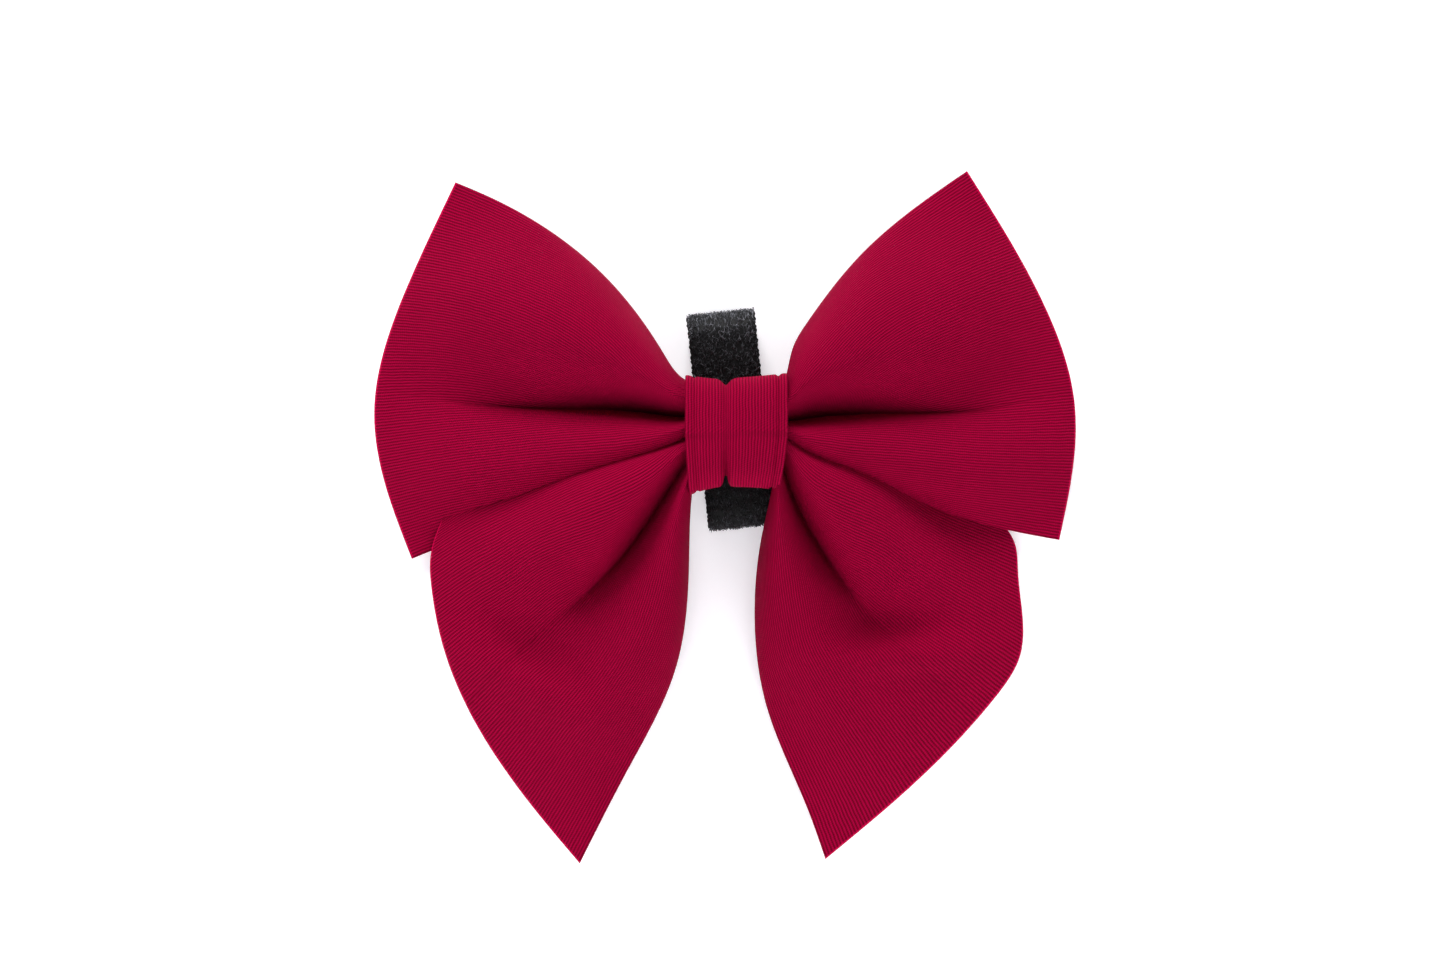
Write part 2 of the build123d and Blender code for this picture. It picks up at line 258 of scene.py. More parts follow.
# ---- wings -------------------------------------------------------------------------------------
# The upper pillow: two panels of ribbed cloth sewn together, turned and pressed, with one deep
# pleat at the waist that fades towards the ends. Each half is drawn by its three sewn edges and by
# how far forward its seams, its two ridges and the pleat between them stand on the way out.


def smooth_through(knots, values, places):
    """A natural cubic spline through values at the knots, read at places. Columns go separately."""
    knots, values = np.asarray(knots, float), np.asarray(values, float)
    values = values.reshape(len(knots), -1)
    gap = np.diff(knots)
    slope = np.diff(values, axis=0) / gap[:, None]
    system = np.eye(len(knots))
    inner = np.arange(1, len(knots) - 1)
    system[inner, inner - 1] = gap[:-1]
    system[inner, inner] = 2 * (gap[:-1] + gap[1:])
    system[inner, inner + 1] = gap[1:]
    right = np.zeros_like(values)
    right[1:-1] = 6 * np.diff(slope, axis=0)
    bend = np.linalg.solve(system, right)
    span = np.clip(np.searchsorted(knots, places, side="right") - 1, 0, len(gap) - 1)
    h = gap[span][:, None]
    a = (knots[span + 1] - places)[:, None] / h
    b = 1 - a
    curve = (a**3 - a) * bend[span] + (b**3 - b) * bend[span + 1]
    return a * values[span] + b * values[span + 1] + curve * h * h / 6


def seam_line(points, shares):
    """A smooth line through the points, read at these shares of its length."""
    points = np.asarray(points, float)
    run = np.append(0, np.cumsum(np.hypot(*np.diff(points, axis=0).T)))
    fine = smooth_through(run, points, np.linspace(0, run[-1], 1200))
    length = np.append(0, np.cumsum(np.hypot(*np.diff(fine, axis=0).T)))
    at = np.asarray(shares) * length[-1]
    return np.stack([np.interp(at, length, fine[:, 0]), np.interp(at, length, fine[:, 1])], axis=-1)


def box_mm(node):
    """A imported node's box in millimetres: left, right, low, high, back and front (forward)."""
    low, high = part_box(node)
    return [v * 1000 for v in (low.x, high.x, low.z, high.z, -high.y, -low.y)]


def swell(distance, reach):
    """How far a pressed pillow is open at a distance from its seam: 0 there, and 1 from its reach on."""
    return (1 - (1 - np.clip(distance / reach, 0, 1)) ** 2.2) ** 0.62


def lay_flat(piece, along, across, from_end):
    """Puts a piece's flat measure and its distance from a sewn end on its points, in millimetres."""
    corners = np.empty(len(piece.data.loops), dtype=np.int32)
    piece.data.loops.foreach_get("vertex_index", corners)
    uv = np.stack([along, across], axis=-1).reshape(-1, 2)
    layer = piece.data.uv_layers.new(name="flat")
    layer.data.foreach_set("uv", uv[corners].ravel())
    rim = piece.data.attributes.new("rim", "FLOAT", "POINT")
    rim.data.foreach_set("value", from_end.ravel().astype(np.float32))


knot_left, knot_right, knot_low, knot_high, knot_back, knot_front = box_mm("knot_band")
way_out = np.linspace(0, 1, 120) ** 1.15
way_across = np.linspace(0, 1, 97)


def pillow_half(node, side, low, end, high, depths, dents, ripple, steep):
    """One half of a pillow as (middle, half thickness), on a grid of way out by way across.

    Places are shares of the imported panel's box: out from the knot's side to the box's side, up
    from its bottom to its top, and forward from its back to its front. The outline is a patch
    filled from the low seam, the sewn end and the high seam. Each row of depths is a share of the
    way out, then how far forward the low seam, the low ridge, the pleat, the high ridge and the
    high seam are, the half thickness in millimetres, where the pleat is between the seams and how
    sharp it is. From the pleat the middle rises to a ridge and falls to a seam, as a round arch
    where it is sharp and as a full cosine where it is soft. A dent is a soft oval hollow or swell:
    its place, its half length and half width, its slope in degrees and its height. Ripples and
    fine gathers fan out of the waist. Steep has the powers of the arch below and above the pleat:
    the smaller one stands up like a wall, and its edge closes over the pleat.
    """
    left, right, bottom, top, back, front = box_mm(node)
    start, reach = (knot_left, left - knot_left) if side < 0 else (knot_right, right - knot_right)

    def placed(points):
        shares = np.array(points, float)
        return np.stack([start + reach * shares[:, 0], bottom + (top - bottom) * shares[:, 1]], axis=-1)

    rows = np.array(depths, float)
    rows[:, 1:6] = back + (front - back) * rows[:, 1:6]
    read = smooth_through(rows[:, 0], rows[:, 1:], way_out)
    low_seam, low_ridge, pleat, high_ridge, high_seam, half, pleat_place, sharp = read.T[:, :, None]
    half, sharp = np.maximum(half, 0.6), np.clip(sharp, 0, 1)

    s, t = way_out[:, None], way_across[None, :]
    below = t < 0.5
    across = np.where(below, 2 * t * pleat_place, pleat_place + (2 * t - 1) * (1 - pleat_place))
    low_line, high_line = seam_line(placed(low), way_out), seam_line(placed(high), way_out)
    end_share = np.linspace(0, 1, 400)
    end_line = seam_line(placed(end), end_share)
    at_end = np.stack([np.interp(across, end_share, end_line[:, k]) for k in (0, 1)], axis=-1)
    u, v = s[..., None], across[..., None]
    straight_end = (1 - v) * low_line[-1] + v * high_line[-1]
    outline = (1 - v) * low_line[:, None] + v * high_line[:, None] + u**1.5 * (at_end - straight_end)

    way = np.abs(2 * t - 1)
    ridge, seam = np.where(below, low_ridge, high_ridge), np.where(below, low_seam, high_seam)
    rise, fall = np.clip(way / 0.5, 0, 1), np.clip((way - 0.5) / 0.5, 0, 1)
    hard_rise = (1 - (1 - rise) ** 2) ** np.where(below, steep[0], steep[1])
    soft_rise = (1 - np.cos(rise * math.pi)) / 2
    hard_fall, soft_fall = (1 - fall**2) ** 0.72, (1 + np.cos(fall * math.pi)) / 2
    lift = sharp * hard_rise + (1 - sharp) * soft_rise
    drop = sharp * hard_fall + (1 - sharp) * soft_fall
    forward = np.where(way < 0.5, pleat + (ridge - pleat) * lift, seam + (ridge - seam) * drop)

    # Ripples a tenth of the way out, fine gathers beside the band, and a slow unevenness.
    fade = np.exp(-((s - 0.1) ** 2) / 0.018)
    forward = forward + ripple * fade * np.sin(math.pi * way) * np.sin(9.5 * across * math.pi + 2 * s)
    gather_count, gather_reach, gather_height = 17, 0.07, 0.22
    gathers = np.sin(2 * gather_count * math.pi * across + 1.5 * np.sin(9 * across))
    forward = forward + gather_height * gathers * np.exp(-((s / gather_reach) ** 2))
    slow = np.sin(5.1 * s + 6.3 * across + 9 * ripple) * np.sin(3.7 * s - 5.2 * across + 1.3)
    forward = forward + 2 * slow * s * (1 - s) * np.sin(math.pi * across)
    for out, up, length, width, slope, height in dents:
        x, z = placed([(out, up)])[0]
        c, d = math.cos(math.radians(slope)), math.sin(math.radians(slope))
        aside, above = outline[..., 0] - x, outline[..., 1] - z
        oval = ((aside * c + above * d) / length) ** 2 + ((above * c - aside * d) / width) ** 2
        forward = forward + height * np.exp(-oval)

    middle = np.stack([outline[..., 0], forward, outline[..., 1]], axis=-1)
    return middle, half * swell(1 - np.abs(2 * across - 1), 0.75) * swell(1 - s, 0.3)


def pillow_panels(names, left, right, cut_width, waist):
    """The front and back panels of a pillow, as closed shells of cloth that meet at the seam.

    Both halves are joined by rows through the waist, where the bundle swells inside the band at
    both sides and is tied in between. Waist gives its bottom and top as shares of the band's
    height. A panel's outside is half the thickness off the middle and its inside is one cloth
    nearer, thinning to nothing at the seam.
    Across, the flat measure is the share of the way over the middle's folds, times the cut width,
    so the ribs run from end to end and close up at the knot. Along, it is the length of the middle.
    """
    cloth, lift, waist_steps = 0.55, 0.03, 11
    band_and_gap, tied_in = 2.2, 1.1
    m = np.linspace(0, 1, waist_steps + 1)[1:-1, None]
    through = left[0][0] * (1 - m[..., None]) + right[0][0] * m[..., None]
    thick_through = left[1][0] * (1 - m) + right[1][0] * m
    fill = np.sin(math.pi * m) ** 0.4
    tied = np.exp(-(((m - 0.5) / 0.2) ** 2))
    waist_low, waist_high = (knot_low + (knot_high - knot_low) * share for share in waist)
    bundle_half = (knot_front - knot_back) / 2 - band_and_gap - tied_in * tied
    through[..., 1] += fill * ((knot_front + knot_back) / 2 - through[..., 1])
    through[..., 2] += fill * (waist_low + (waist_high - waist_low) * way_across - through[..., 2])
    thick_through += fill * (bundle_half * (1 - np.abs(2 * way_across - 1) ** 6) - thick_through)
    middle = np.concatenate([left[0][::-1], through, right[0]])
    half = np.concatenate([left[1][::-1], thick_through, right[1]])
    rows, columns = half.shape

    step = np.linalg.norm(np.diff(middle, axis=0), axis=-1)
    along = np.concatenate([np.zeros((1, columns)), np.cumsum(step, axis=0)])
    along = along - along[rows // 2]
    step = np.linalg.norm(np.diff(middle, axis=1), axis=-1)
    across = np.concatenate([np.zeros((rows, 1)), np.cumsum(step, axis=1)], axis=1)
    across = across / across[:, -1:] * cut_width
    from_end = np.minimum(along[-1] - along, along - along[0])

    pieces = []
    for name, side in zip(names, (1, -1)):
        outside, inside = middle.copy(), middle.copy()
        outside[..., 1] += side * (half + lift)
        inside[..., 1] += side * np.maximum(half - cloth, 0.0)
        outer = grid_faces(rows, columns, flip=side < 0)
        inner = grid_faces(rows, columns, flip=side > 0) + rows * columns
        number = np.arange(rows * columns).reshape(rows, columns)
        loop = np.concatenate([number[:-1, 0], number[-1, :-1], number[:0:-1, -1], number[0, :0:-1]])
        ahead = np.roll(loop, -1)
        hem = np.stack([loop, loop + rows * columns, ahead + rows * columns, ahead], axis=-1)
        hem = hem if side > 0 else hem[:, ::-1]
        points = np.concatenate([outside.reshape(-1, 3), inside.reshape(-1, 3)])
        piece = make_mesh(name, points, np.concatenate([outer, inner, hem]))
        lay_flat(piece, np.stack([along, along]), np.stack([across, across]), np.stack([from_end, from_end]))
        piece.data.materials.append(crimson)
        pieces.append(piece)
    return pieces


left_wing = pillow_half(
    "wing_front_panel", -1,
    low=[(-0.03, 0.29), (0.0, 0.27), (0.47, 0.10), (0.88, -0.03)],
    end=[(0.88, -0.03), (1.0, 0.37), (0.89, 0.70), (0.74, 0.97)],
    high=[(-0.03, 0.43), (0.0, 0.44), (0.07, 0.51), (0.30, 0.75), (0.63, 0.93), (0.74, 0.97)],
    depths=[
        (0.00, 0.50, 0.92, 0.55, 0.92, 0.50, 0.7, 0.42, 1.0),
        (0.10, 0.34, 0.90, 0.24, 0.93, 0.46, 1.0, 0.44, 1.0),
        (0.25, 0.14, 0.74, 0.05, 0.85, 0.32, 1.6, 0.435, 1.0),
        (0.45, 0.07, 0.52, 0.09, 0.70, 0.20, 2.2, 0.40, 1.0),
        (0.70, 0.03, 0.34, 0.10, 0.48, 0.12, 2.6, 0.395, 0.6),
        (1.00, 0.02, 0.04, 0.03, 0.05, 0.03, 2.2, 0.45, 0.0),
    ],
    dents=[(0.5, 0.43, 17, 6, -4, -2.2), (0.65, 0.68, 18, 10, 60, 0.8)],
    ripple=0.35, steep=(0.42, 0.9),
)
right_wing = pillow_half(
    "wing_front_panel", 1,
    low=[(-0.03, 0.29), (0.0, 0.27), (0.44, 0.12), (0.75, 0.05), (0.95, 0.02)],
    end=[(0.95, 0.02), (1.0, 0.40), (0.88, 0.67), (0.63, 1.0)],
    high=[(-0.03, 0.39), (0.0, 0.455), (0.025, 0.53), (0.07, 0.59), (0.26, 0.775), (0.63, 1.0)],
    depths=[
        (0.00, 0.50, 0.92, 0.55, 0.92, 0.50, 0.7, 0.42, 1.0),
        (0.10, 0.40, 0.90, 0.24, 0.93, 0.46, 1.0, 0.42, 1.0),
        (0.25, 0.22, 0.74, 0.05, 0.85, 0.32, 1.6, 0.41, 1.0),
        (0.45, 0.14, 0.52, 0.09, 0.70, 0.20, 2.2, 0.375, 1.0),
        (0.70, 0.08, 0.34, 0.10, 0.48, 0.12, 2.6, 0.355, 0.6),
        (1.00, 0.02, 0.04, 0.03, 0.05, 0.03, 2.2, 0.40, 0.0),
    ],
    dents=[(0.5, 0.43, 17, 6, 4, -2.2), (0.66, 0.70, 16, 10, -60, 0.8)],
    ripple=0.3, steep=(0.42, 0.9),
)
wing_front, wing_back = pillow_panels(
    ("wing_front_cloth", "wing_back_cloth"), left_wing, right_wing, 92, (0.48, 0.80)
)
for cloth, node in ((wing_front, "wing_front_panel"), (wing_back, "wing_back_panel")):
    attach(cloth, "bow")
    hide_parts(node)

# ---- tails -------------------------------------------------------------------------------------
# The lower pillow, sewn in the same way from a longer strip with slanted ends. It's folded down on
# both sides of the knot, and lies over the lower corner of the left wing.
left_tail = pillow_half(
    "tail_front_panel", -1,
    low=[(-0.04, 0.93), (-0.022, 0.85), (-0.012, 0.71), (0.04, 0.46), (0.23, 0.22), (0.42, 0.0)],
    end=[(0.42, 0.0), (0.69, 0.20), (0.91, 0.43), (1.0, 0.64), (1.0, 0.73), (0.96, 0.80)],
    high=[(-0.04, 1.0), (0.0, 0.995), (0.45, 0.925), (0.81, 0.855), (0.96, 0.80)],
    depths=[
        (0.00, 0.50, 0.92, 0.55, 0.92, 0.55, 0.7, 0.50, 1.0),
        (0.10, 0.44, 0.90, 0.27, 0.94, 0.56, 1.0, 0.50, 1.0),
        (0.25, 0.28, 0.74, 0.02, 0.86, 0.48, 1.6, 0.50, 1.0),
        (0.45, 0.14, 0.50, 0.04, 0.68, 0.34, 2.0, 0.50, 1.0),
        (0.70, 0.06, 0.26, 0.20, 0.40, 0.22, 2.8, 0.50, 0.2),
        (1.00, 0.02, 0.04, 0.06, 0.08, 0.12, 2.0, 0.50, 0.0),
    ],
    dents=[(0.65, 0.54, 16, 7, -35, -3.2), (0.57, 0.41, 17, 6, -30, 2.8)],
    ripple=0.4, steep=(0.7, 0.5),
)
right_tail = pillow_half(
    "tail_front_panel", 1,
    low=[
        (-0.04, 0.94), (-0.065, 0.86), (-0.10, 0.77), (-0.13, 0.60), (-0.08, 0.37), (0.10, 0.12),
        (0.17, 0.01),
    ],
    end=[
        (0.17, 0.01), (0.49, 0.16), (0.89, 0.39), (0.99, 0.48), (0.985, 0.68), (0.97, 0.75),
        (0.91, 0.80),
    ],
    high=[(-0.04, 1.02), (0.0, 1.0), (0.33, 0.93), (0.58, 0.87), (0.91, 0.80)],
    depths=[
        (0.00, 0.50, 0.92, 0.55, 0.92, 0.55, 0.7, 0.50, 1.0),
        (0.10, 0.44, 0.90, 0.27, 0.93, 0.55, 1.0, 0.50, 1.0),
        (0.25, 0.28, 0.74, 0.02, 0.83, 0.46, 1.6, 0.49, 1.0),
        (0.45, 0.14, 0.50, 0.04, 0.58, 0.24, 2.0, 0.48, 1.0),
        (0.70, 0.06, 0.26, 0.20, 0.26, 0.04, 2.6, 0.48, 0.2),
        (1.00, 0.02, 0.04, 0.04, 0.02, 0.00, 1.8, 0.48, 0.0),
    ],
    dents=[(0.46, 0.57, 13, 5, 0, -3.0), (0.49, 0.49, 16, 4, 0, 2.8)],
    ripple=0.38, steep=(0.9, 0.42),
)
tail_front, tail_back = pillow_panels(
    ("tail_front_cloth", "tail_back_cloth"), left_tail, right_tail, 78, (0.16, 0.47)
)
for cloth, node in ((tail_front, "tail_front_panel"), (tail_back, "tail_back_panel")):
    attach(cloth, "bow")
    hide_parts(node)

# ---- knot band ---------------------------------------------------------------------------------
# The same cloth, folded lengthwise to a band whose raw edges are turned in and meet at a crease
# down the middle, and closed round the waist. It's pulled tight, so its folded sides flare over
# the pillows at the top and the bottom and its middle is drawn in to a notch.
wall, crease_off_centre, loop_power = 1.9, 2.4, 0.62
band_middle, band_half_width = (knot_left + knot_right) / 2, (knot_right - knot_left) / 2
crease_x = band_middle - crease_off_centre
way_round = np.linspace(0, 2 * math.pi, 220, endpoint=False)

# Points round the section are even in x, so that the crease gets its share of them.
side_power = 0.55
spread = np.cos(np.linspace(0, math.pi, 121)[:-1])
half_round = np.arccos(np.sign(spread) * np.abs(spread) ** (1 / side_power))
edge_round = np.concatenate([half_round, half_round + math.pi])


def rounded(wave, power):
    """A sine or cosine to a power, with its sign kept. Below 1 it squares a circle's corners."""
    return np.sign(wave) * np.abs(wave) ** power


def band_profile(turn):
    """Points of the band's own section as (x, out) in millimetres, out from its inner face.

    A flat loop of folded cloth: round folds at both sides, a slight crown over each half, and on
    the outer face a crease where the folded edges meet, beside a roll along each fold. Turn is the
    place round the band. The crease is a shallow valley at the top and a narrow slit at the bottom.
    """
    c, s = np.cos(edge_round)[None, :], np.sin(edge_round)[None, :]
    x = band_middle + band_half_width * rounded(c, side_power)
    out = wall / 2 + wall / 2 * rounded(s, 0.5)
    outer = np.clip(s, 0, 1) ** 0.3
    front = np.clip(np.cos(turn), 0, 1)[:, None] ** 0.5
    height = rounded(np.sin(turn), loop_power)
    share = (x - band_middle) / band_half_width
    crown = front * (0.75 * (1 - share**2) + 0.35 * np.cos(3.2 * share))
    bottom, above = (np.clip(way * height / 0.95, 0, 1)[:, None] ** 2 for way in (-1, 1))
    depth = 0.25 + 3.2 * bottom + 0.5 * above
    reach = 0.9 - 0.4 * bottom
    crease = depth * np.exp(-np.abs((x - crease_x) / reach) ** 1.5)
    roll = 0.45 * np.exp(-(((x - knot_left - 2.0) / 0.45) ** 2))
    roll += 0.55 * np.exp(-(((x - knot_right + 2.0) / 0.5) ** 2))
    return x, out + outer * (crown - crease - roll)


# The loop's line round the waist is a rounded box. Its top and bottom are drawn in between the
# folded sides, most at the crease, where a narrow bell makes the two notches. The top is a little
# lower at the left side, and the bottom is lowest there.
profile_x, profile_out = band_profile(way_round)
to_side = np.where(profile_x < crease_x, crease_x - knot_left, knot_right - crease_x)
off_middle = (profile_x - crease_x) / to_side
to_left, to_right = np.clip(-off_middle, 0, 1), np.clip(off_middle, 0, 1)
notch = np.exp(-(((profile_x - crease_x) / 1.3) ** 2))
hollow = 1 - np.clip(np.abs(off_middle), 0, 1) ** 1.7
top_line = knot_high - wall - 0.1 - 2.1 * hollow - 0.8 * notch - 0.4 * to_left
bottom_line = knot_low + wall - 1.0 + 2.6 * hollow + 0.4 * notch + 1.2 * to_right
half_height = (top_line - bottom_line) / 2
centre_z = (top_line + bottom_line) / 2
half_deep = (knot_front - knot_back) / 2 - wall
middle_forward = (knot_front + knot_back) / 2
c, s = np.cos(way_round)[:, None], np.sin(way_round)[:, None]
normal_f = rounded(c, 2 - loop_power) * half_height
normal_z = rounded(s, 2 - loop_power) * half_deep
normal_length = np.hypot(normal_f, normal_z) + 1e-9
normal_f, normal_z = normal_f / normal_length, normal_z / normal_length
band_forward = middle_forward + half_deep * rounded(c, loop_power) + profile_out * normal_f
band_z = centre_z + half_height * rounded(s, loop_power) + profile_out * normal_z

# Below the middle both folded sides draw in a little, the right one more.
lower = np.clip((knot_high + knot_low - 2 * band_z) / (knot_high - knot_low), 0, 1) ** 1.4
band_x = profile_x - 2.0 * lower * to_right + 0.9 * lower * to_left

number = np.arange(band_x.size).reshape(band_x.shape)
ahead_round, ahead_section = np.roll(number, -1, axis=0), np.roll(number, -1, axis=1)
ahead_both = np.roll(ahead_round, -1, axis=1)
band_faces = np.stack([number, ahead_round, ahead_both, ahead_section], axis=-1).reshape(-1, 4)
band_points = np.stack([band_x, band_forward, band_z], axis=-1).reshape(-1, 3)
band = make_mesh("knot_band_cloth", band_points, band_faces)

# Ribs run round the waist, and the flat measure across them is the mean length over the section.
step_forward = np.diff(band_forward, axis=0, append=band_forward[:1])
step_up = np.diff(band_z, axis=0, append=band_z[:1])
along_band = np.cumsum(np.hypot(step_forward, step_up), axis=0).mean(axis=1, keepdims=True)
step = np.hypot(np.diff(profile_x, axis=1), np.diff(profile_out, axis=1))
across_band = np.concatenate([np.zeros((len(way_round), 1)), np.cumsum(step, axis=1)], axis=1)
across_band = across_band.mean(axis=0, keepdims=True)
far_from_end = np.full(band_x.shape, 9.0)
lay_flat(band, along_band + 0 * band_x, across_band + 0 * band_x, far_from_end)
band.data.materials.append(crimson)
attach(band, "bow")
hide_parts("knot_band")

# ---- hook-and-loop strap -----------------------------------------------------------------------
# One black loop tape, sewn behind the knot and folded back at the top and the bottom. Its outer
# face is a pile of fine nylon loops over a knitted ground. The middle rides on the bow, and the
# two arms are laid round the folds.
peel = next(joint for joint in frame["joints"] if joint["name"] == "upper_arm_peel")
tilt = math.atan2(peel["axis"][2], peel["axis"][0])
up_way = np.array([-math.sin(tilt), 0, math.cos(tilt)])
over_way = np.array([math.cos(tilt), 0, math.sin(tilt)])


def tilted_box(node):
    """A tilted rectangle from its upright box: middle and half length up, half width, back, front."""
    left, right, low, high, back, front = box_mm(node)
    c, s = math.cos(tilt), math.sin(tilt)
    wide, tall = (right - left) / 2, (high - low) / 2
    half_up = (tall * c - wide * s) / (c * c - s * s)
    half_over = (wide * c - tall * s) / (c * c - s * s)
    middle_up = (low + high) / 2 * c - (left + right) / 2 * s
    return middle_up, half_up, half_over, back, front


_, strap_half, tape_half_width, _, strap_front = tilted_box("strap_centre")
upper_middle, upper_half, _, upper_back, _ = tilted_box("strap_upper_arm")
lower_middle, lower_half, _, lower_back, _ = tilted_box("strap_lower_arm")
tape = strap_front
upper_end, lower_end = upper_middle - upper_half, lower_middle + lower_half
top_radius, bottom_radius = (strap_front - upper_back) / 2, (strap_front - lower_back) / 2
top_centre = (strap_half - top_radius, strap_front - top_radius)
bottom_centre = (-strap_half + bottom_radius, strap_front - bottom_radius)


def run_of_tape(points, count):
    """A line of tape's outer face read at even steps, with the outward direction at each step.

    Points are (up, forward) along the strap. Outward is to the left of the way along.
    """
    points = np.asarray(points, float)
    run = np.append(0, np.cumsum(np.hypot(*np.diff(points, axis=0).T)))
    at = np.linspace(0, run[-1], count)
    line = np.stack([np.interp(at, run, points[:, 0]), np.interp(at, run, points[:, 1])], axis=-1)
    way = np.gradient(line, axis=0)
    way /= np.linalg.norm(way, axis=1, keepdims=True)
    return line, np.stack([-way[:, 1], way[:, 0]], axis=-1), at


def place(up, forward, over):
    """Points in millimetres as (x, forward, z) from the strap's own up, forward and sideways."""
    point = up[..., None] * up_way + over[..., None] * over_way
    point[..., 1] = forward
    return point


def tube_faces(rows, columns):
    """The sides and the two ends of a closed tube, over rows of points round it."""
    number = np.arange(rows * columns).reshape(rows, columns)
    beside = np.roll(number, -1, axis=1)
    sides = np.stack([number[:-1], number[1:], beside[1:], beside[:-1]], axis=-1)
    return sides.reshape(-1, 4).tolist() + [number[0].tolist(), number[-1, ::-1].tolist()]


def tape_piece(name, points, count, loops, seed, fold_light_grey):
    """A length of loop tape: a closed flat body with soft rounded edges, and its pile.

    The pile is a crowd of small arches of nylon, each three-sided and four steps long, standing
    on the outer face and lying over in every direction. They're in the same mesh as the tape.
    The grey of the pile at the fold is a painted highlight where the fold faces the light, over each
    fibre's own random grey. Painted shade takes it down to a third of that within 9 mm of the fold.
    """
    rng = np.random.default_rng(seed)
    line, outward, run = run_of_tape(points, count)
    around = np.linspace(0, 2 * math.pi, 56, endpoint=False)
    c, s = np.cos(around), np.sin(around)
    over = tape_half_width * rounded(c, 0.35)
    deep = (rounded(s, 0.6) - 1) * tape / 2
    at_edge, on_face = np.abs(over) > tape_half_width - 1, deep > -0.4
    fray = 0.12 * np.sin(run[:, None] * 5.3 + 3 * np.sign(over)) + 0.1 * np.sin(run[:, None] * 2.1)
    wide = over[None, :] + fray * np.sign(over) * at_edge
    lumps = 0.08 * np.sin(run[:, None] * 2.7 + over[None, :] * 1.9) * np.sin(over[None, :] * 2.3 + 1.1)
    out = deep[None, :] + lumps * on_face
    body = place(line[:, :1] + outward[:, :1] * out, line[:, 1:] + outward[:, 1:] * out, wide)

    base_run = rng.uniform(0.3, run[-1] - 0.3, loops)
    base_over = rng.uniform(-tape_half_width + 0.2, tape_half_width - 0.2, loops)
    heading = rng.uniform(0, 2 * math.pi, loops)
    span = rng.uniform(0.5, 1.5, loops)
    high = rng.uniform(0.2, 0.75, loops)
    thick = rng.uniform(0.045, 0.08, loops)
    share = np.linspace(0, 1, 5)
    arch_run = base_run[:, None] + np.cos(heading)[:, None] * span[:, None] * (share - 0.5)
    arch_over = base_over[:, None] + np.sin(heading)[:, None] * span[:, None] * (share - 0.5)
    arch_over += 0.25 * np.sin(3 * share + heading[:, None])
    arch_out = high[:, None] * np.sin(share * math.pi) ** 0.7 - 0.05
    arch_run = np.clip(arch_run, 0.05, run[-1] - 0.05)
    ring = np.array([0, 2 * math.pi / 3, 4 * math.pi / 3])
    sideways = np.cos(ring) * thick[:, None, None]
    upward = np.sin(ring) * thick[:, None, None]
    fibre_run = arch_run[..., None] - np.sin(heading)[:, None, None] * sideways
    fibre_over = arch_over[..., None] + np.cos(heading)[:, None, None] * sideways
    fibre_out = arch_out[..., None] + upward
    fibre_run = np.clip(fibre_run, 0, run[-1])
    at_up = np.interp(fibre_run, run, line[:, 0]) + np.interp(fibre_run, run, outward[:, 0]) * fibre_out
    at_forward = np.interp(fibre_run, run, line[:, 1]) + np.interp(fibre_run, run, outward[:, 1]) * fibre_out
    fibres = place(at_up, at_forward, fibre_over)
    fibre = np.arange(fibre_run.size).reshape(fibre_run.shape) + out.size
    turned = np.roll(fibre, -1, axis=2)
    fibre_sides = np.stack([fibre[:, :-1], turned[:, :-1], turned[:, 1:], fibre[:, 1:]], axis=-1)
    points = np.concatenate([body.reshape(-1, 3), fibres.reshape(-1, 3)])
    faces = tube_faces(*out.shape) + fibre_sides.reshape(-1, 4).tolist()
    piece = make_mesh(name, points, faces)
    # Painted highlight and shade: the pile is greyest at the fold and darker away from it.
    from_fold = np.abs(line[:, 0]).max() - np.abs(np.interp(base_run, run, line[:, 0]))
    fold_light_share = np.clip(1 - from_fold / 9 * 2 / 3, 1 / 3, 1)
    grey = fold_light_grey * fold_light_share * (0.1 + 0.9 * rng.uniform(0, 1, loops) ** 3)
    grey_of_points = np.repeat(grey, fibre[0].size)
    pile = piece.data.attributes.new("pile", "FLOAT", "POINT")
    pile.data.foreach_set("value", np.append(np.zeros(out.size), grey_of_points).astype(np.float32))
    piece.data.materials.append(pile_black)
    return piece


# Black nylon: the ground is black, and each fibre of the pile has its own grey, its random tone
# together with the painted highlight and painted shade of the folds, speckled with lint.
pile_black = bpy.data.materials.new("black_loop_pile")
pile_black.use_nodes = True
tree = pile_black.node_tree
skin = tree.nodes["Principled BSDF"]
fibre_grey = tree.nodes.new("ShaderNodeAttribute")
fibre_grey.attribute_name = "pile"
object_place = tree.nodes.new("ShaderNodeTexCoord")
lint = tree.nodes.new("ShaderNodeTexNoise")
lint.inputs["Scale"].default_value = 900
lint.inputs["Detail"].default_value = 3
tree.links.new(object_place.outputs["Object"], lint.inputs["Vector"])
grey = maths(tree, "MULTIPLY_ADD", fibre_grey.outputs["Fac"], 0.32, 0.002)
over_half = maths(tree, "MAXIMUM", maths(tree, "SUBTRACT", lint.outputs[0], 0.5), 0)
fleck = maths(tree, "MULTIPLY", maths(tree, "MULTIPLY", over_half, 0.5), fibre_grey.outputs["Fac"])
grey = maths(tree, "ADD", grey, fleck)
tint = tree.nodes.new("ShaderNodeCombineColor")
for channel, share in enumerate((1, 1.02, 1.14)):
    tree.links.new(maths(tree, "MULTIPLY", grey, share), tint.inputs[channel])
tree.links.new(tint.outputs[0], skin.inputs["Base Color"])
skin.inputs["Roughness"].default_value = 0.6
skin.inputs["Specular IOR Level"].default_value = 0.15


def round_bend(centre, radius, start, stop, steps=26):
    """Points (up, forward) round part of a circle, angles in degrees from straight up."""
    angle = np.radians(np.linspace(start, stop, steps))
    return [(centre[0] + radius * math.cos(a), centre[1] + radius * math.sin(a)) for a in angle]


